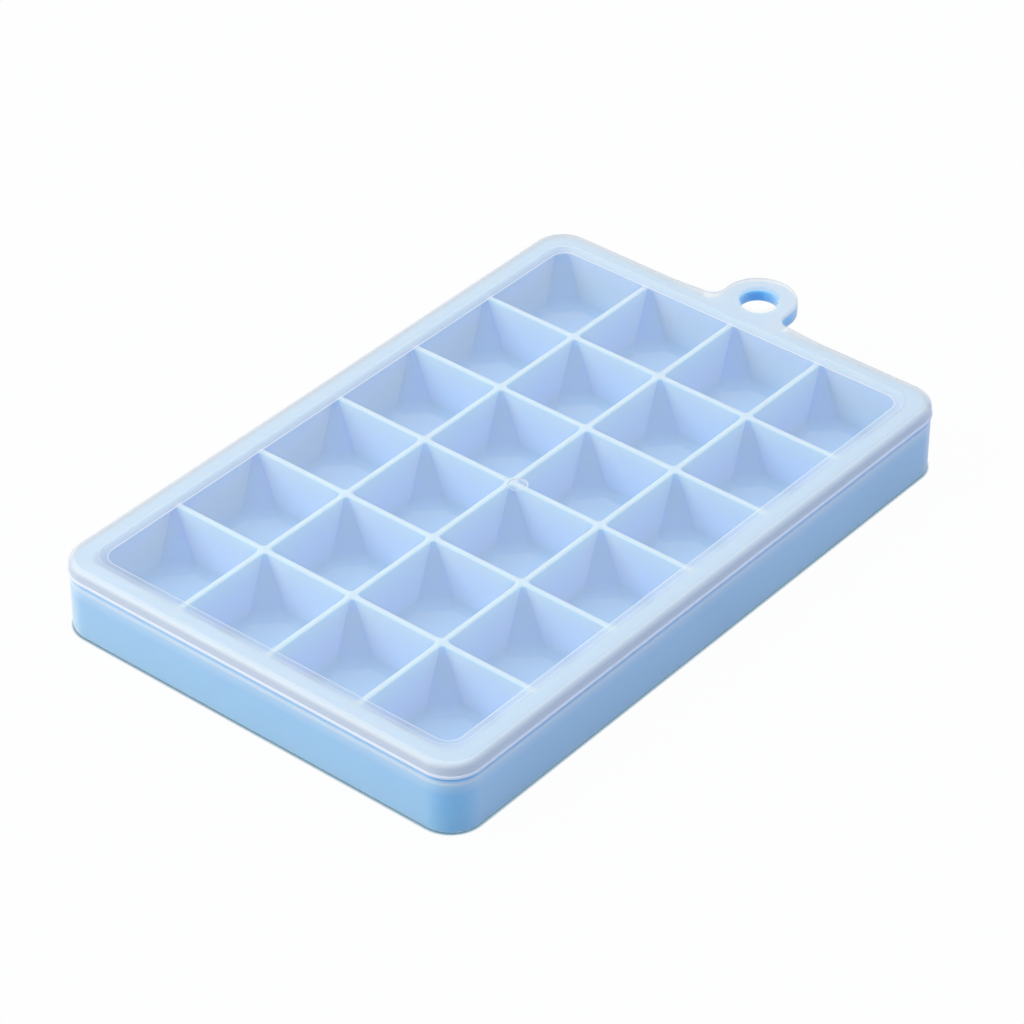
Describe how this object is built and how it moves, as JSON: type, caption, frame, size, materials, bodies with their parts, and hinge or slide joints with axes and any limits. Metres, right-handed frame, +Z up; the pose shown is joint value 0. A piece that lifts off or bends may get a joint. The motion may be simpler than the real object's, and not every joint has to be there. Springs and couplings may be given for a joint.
{
  "type": "ice cube tray with lid",
  "caption": "Soft silicone ice cube tray: a grid of drafted square cells in a skirted body with a hanging ear, closed by a thin frosted press-on lid.",
  "frame": {"origin": "on the standing surface under the middle of the whole outline, hanging ear included", "axes": "+X across the short way, +Y along the long way towards the hanging ear, +Z up"},
  "size_m": [0.12, 0.1966, 0.0194],
  "materials": {
    "silicone": "satin light blue moulded silicone",
    "frosted_lid": "frosted natural polypropylene, translucent"
  },
  "bodies": {
    "root": {"tray": "silicone", "lid": "frosted_lid"}
  },
  "joints": []
}
